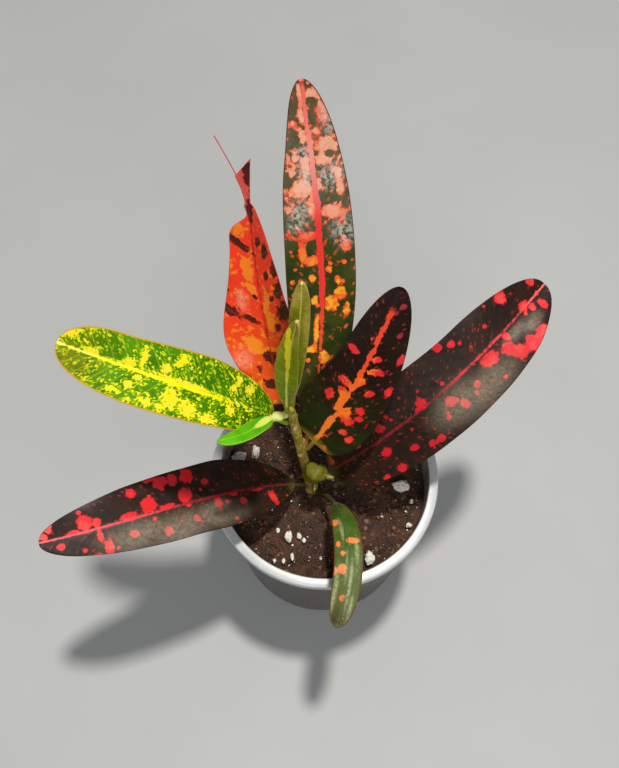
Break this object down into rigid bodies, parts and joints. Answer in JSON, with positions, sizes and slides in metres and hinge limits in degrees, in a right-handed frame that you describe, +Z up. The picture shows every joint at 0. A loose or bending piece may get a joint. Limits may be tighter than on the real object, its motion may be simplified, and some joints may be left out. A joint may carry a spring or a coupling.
{
  "type": "potted croton",
  "caption": "Young croton with spotted leaves in red, orange, lime and near-black on a short woody stem, in a small tapered white nursery pot of peat.",
  "frame": {"origin": "centre of the pot's underside, on the surface the pot stands on", "axes": "+Z up, +Y away from the side where the drooping front leaf hangs over the lip, +X to the right seen from that side"},
  "size_m": [0.1783, 0.1372, 0.21],
  "materials": {
    "pot_plastic": "smooth, slightly milky moulded plastic",
    "peat": "loose fibrous dark peat",
    "perlite": "matt, crumbly",
    "woody_stem": "rough, with pale leaf scars",
    "green_shoot": "satin",
    "leaf_peach_green": "glossy and waxy",
    "leaf_red_orange": "glossy and waxy",
    "leaf_lime_yellow": "glossy and waxy",
    "leaf_dark_red_spots": "glossy and waxy",
    "leaf_dark_orange_rib": "glossy and waxy",
    "leaf_green_orange_spots": "glossy and waxy",
    "leaf_young": "glossy and waxy",
    "leaf_bright_green": "glossy and waxy"
  },
  "bodies": {
    "root": {"pot": "pot_plastic", "soil": "peat", "main_stem": "woody_stem", "side_shoot": "green_shoot", "leaf_back": "leaf_peach_green", "leaf_red_twisted": "leaf_red_orange", "leaf_lime": "leaf_lime_yellow", "leaf_low_left": "leaf_dark_red_spots", "leaf_right": "leaf_dark_red_spots", "leaf_middle": "leaf_dark_orange_rib", "leaf_front": "leaf_green_orange_spots", "leaf_young_front": "leaf_young", "leaf_young_back": "leaf_young", "leaf_small_green": "leaf_bright_green", "perlite_grain_01": "perlite", "perlite_grain_02": "perlite", "perlite_grain_03": "perlite", "perlite_grain_04": "perlite", "perlite_grain_05": "perlite", "perlite_grain_06": "perlite", "perlite_grain_07": "perlite", "perlite_grain_08": "perlite", "perlite_grain_09": "perlite", "perlite_grain_10": "perlite", "perlite_grain_11": "perlite", "perlite_grain_12": "perlite", "perlite_grain_13": "perlite"}
  },
  "joints": []
}
